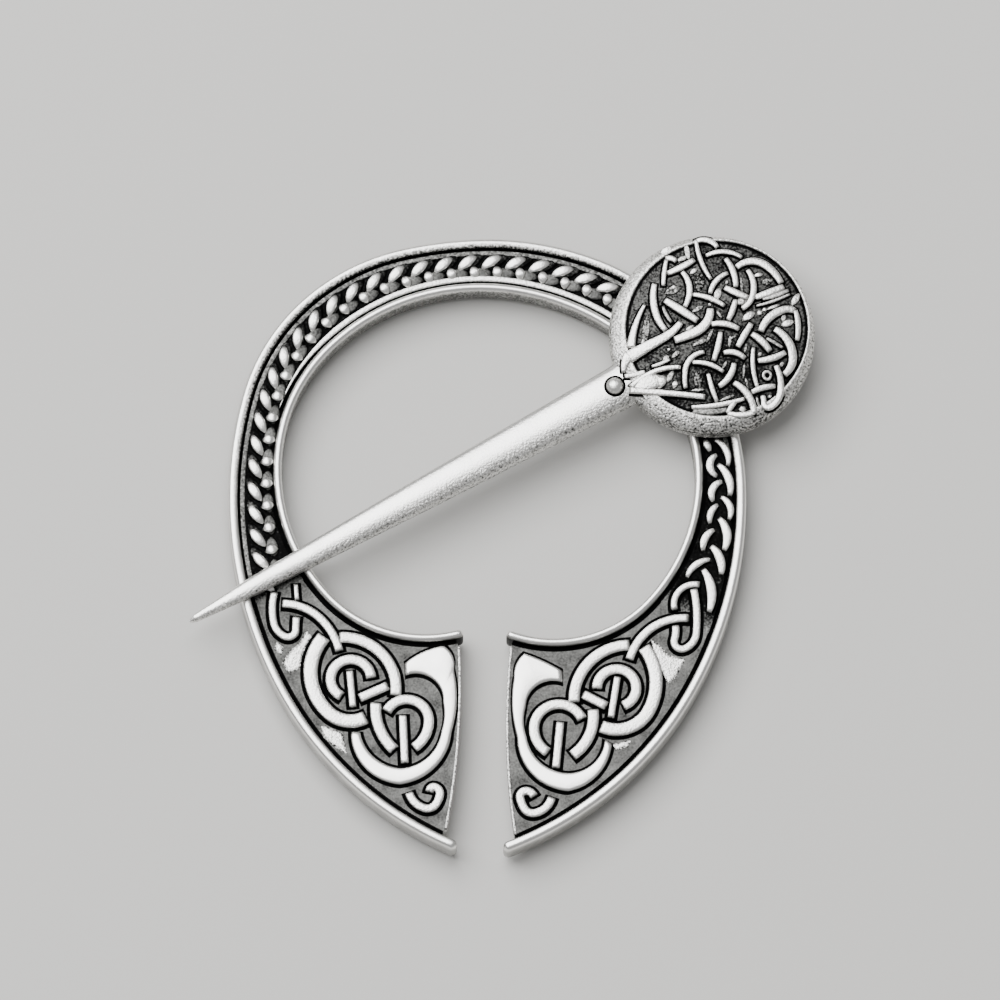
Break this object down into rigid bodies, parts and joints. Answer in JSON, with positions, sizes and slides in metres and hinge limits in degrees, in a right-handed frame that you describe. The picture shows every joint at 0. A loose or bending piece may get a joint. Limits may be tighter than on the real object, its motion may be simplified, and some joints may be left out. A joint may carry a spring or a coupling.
{
  "type": "cloak clasp",
  "caption": "Penannular cloak clasp: flared open hoop with raised knotwork and a long pin with a round domed head that slides and lifts on a loop.",
  "frame": {"origin": "axis of the hoop's round opening, in the plane that the clasp rests on", "axes": "+Z out of the decorated face, +Y away from the gap between the terminals, +X towards the pin's head"},
  "size_m": [0.0627, 0.0637, 0.007],
  "materials": {
    "hoop_metal": "antique silver plate, polished relief on a darkened ground",
    "loop_metal": "plain antique silver plate",
    "pin_metal": "antique silver plate, polished relief on a darkened ground"
  },
  "bodies": {
    "hoop_body": {"hoop": "hoop_metal"},
    "loop_body": {"back_loop": "loop_metal"},
    "pin_body": {"pin": "pin_metal"}
  },
  "joints": [
    {"name": "head_slide", "type": "hinge", "parent": "hoop_body", "child": "loop_body", "pos_m": [0, 0.00074, 0], "axis": [0, 0, 1], "range_deg": [-45, 148]},
    {"name": "pin_lift", "type": "hinge", "parent": "loop_body", "child": "pin_body", "pos_m": [0.02315, 0.01719, 0.0041], "axis": [-0.5793, 0.8151, 0], "range_deg": [0, 25]}
  ]
}
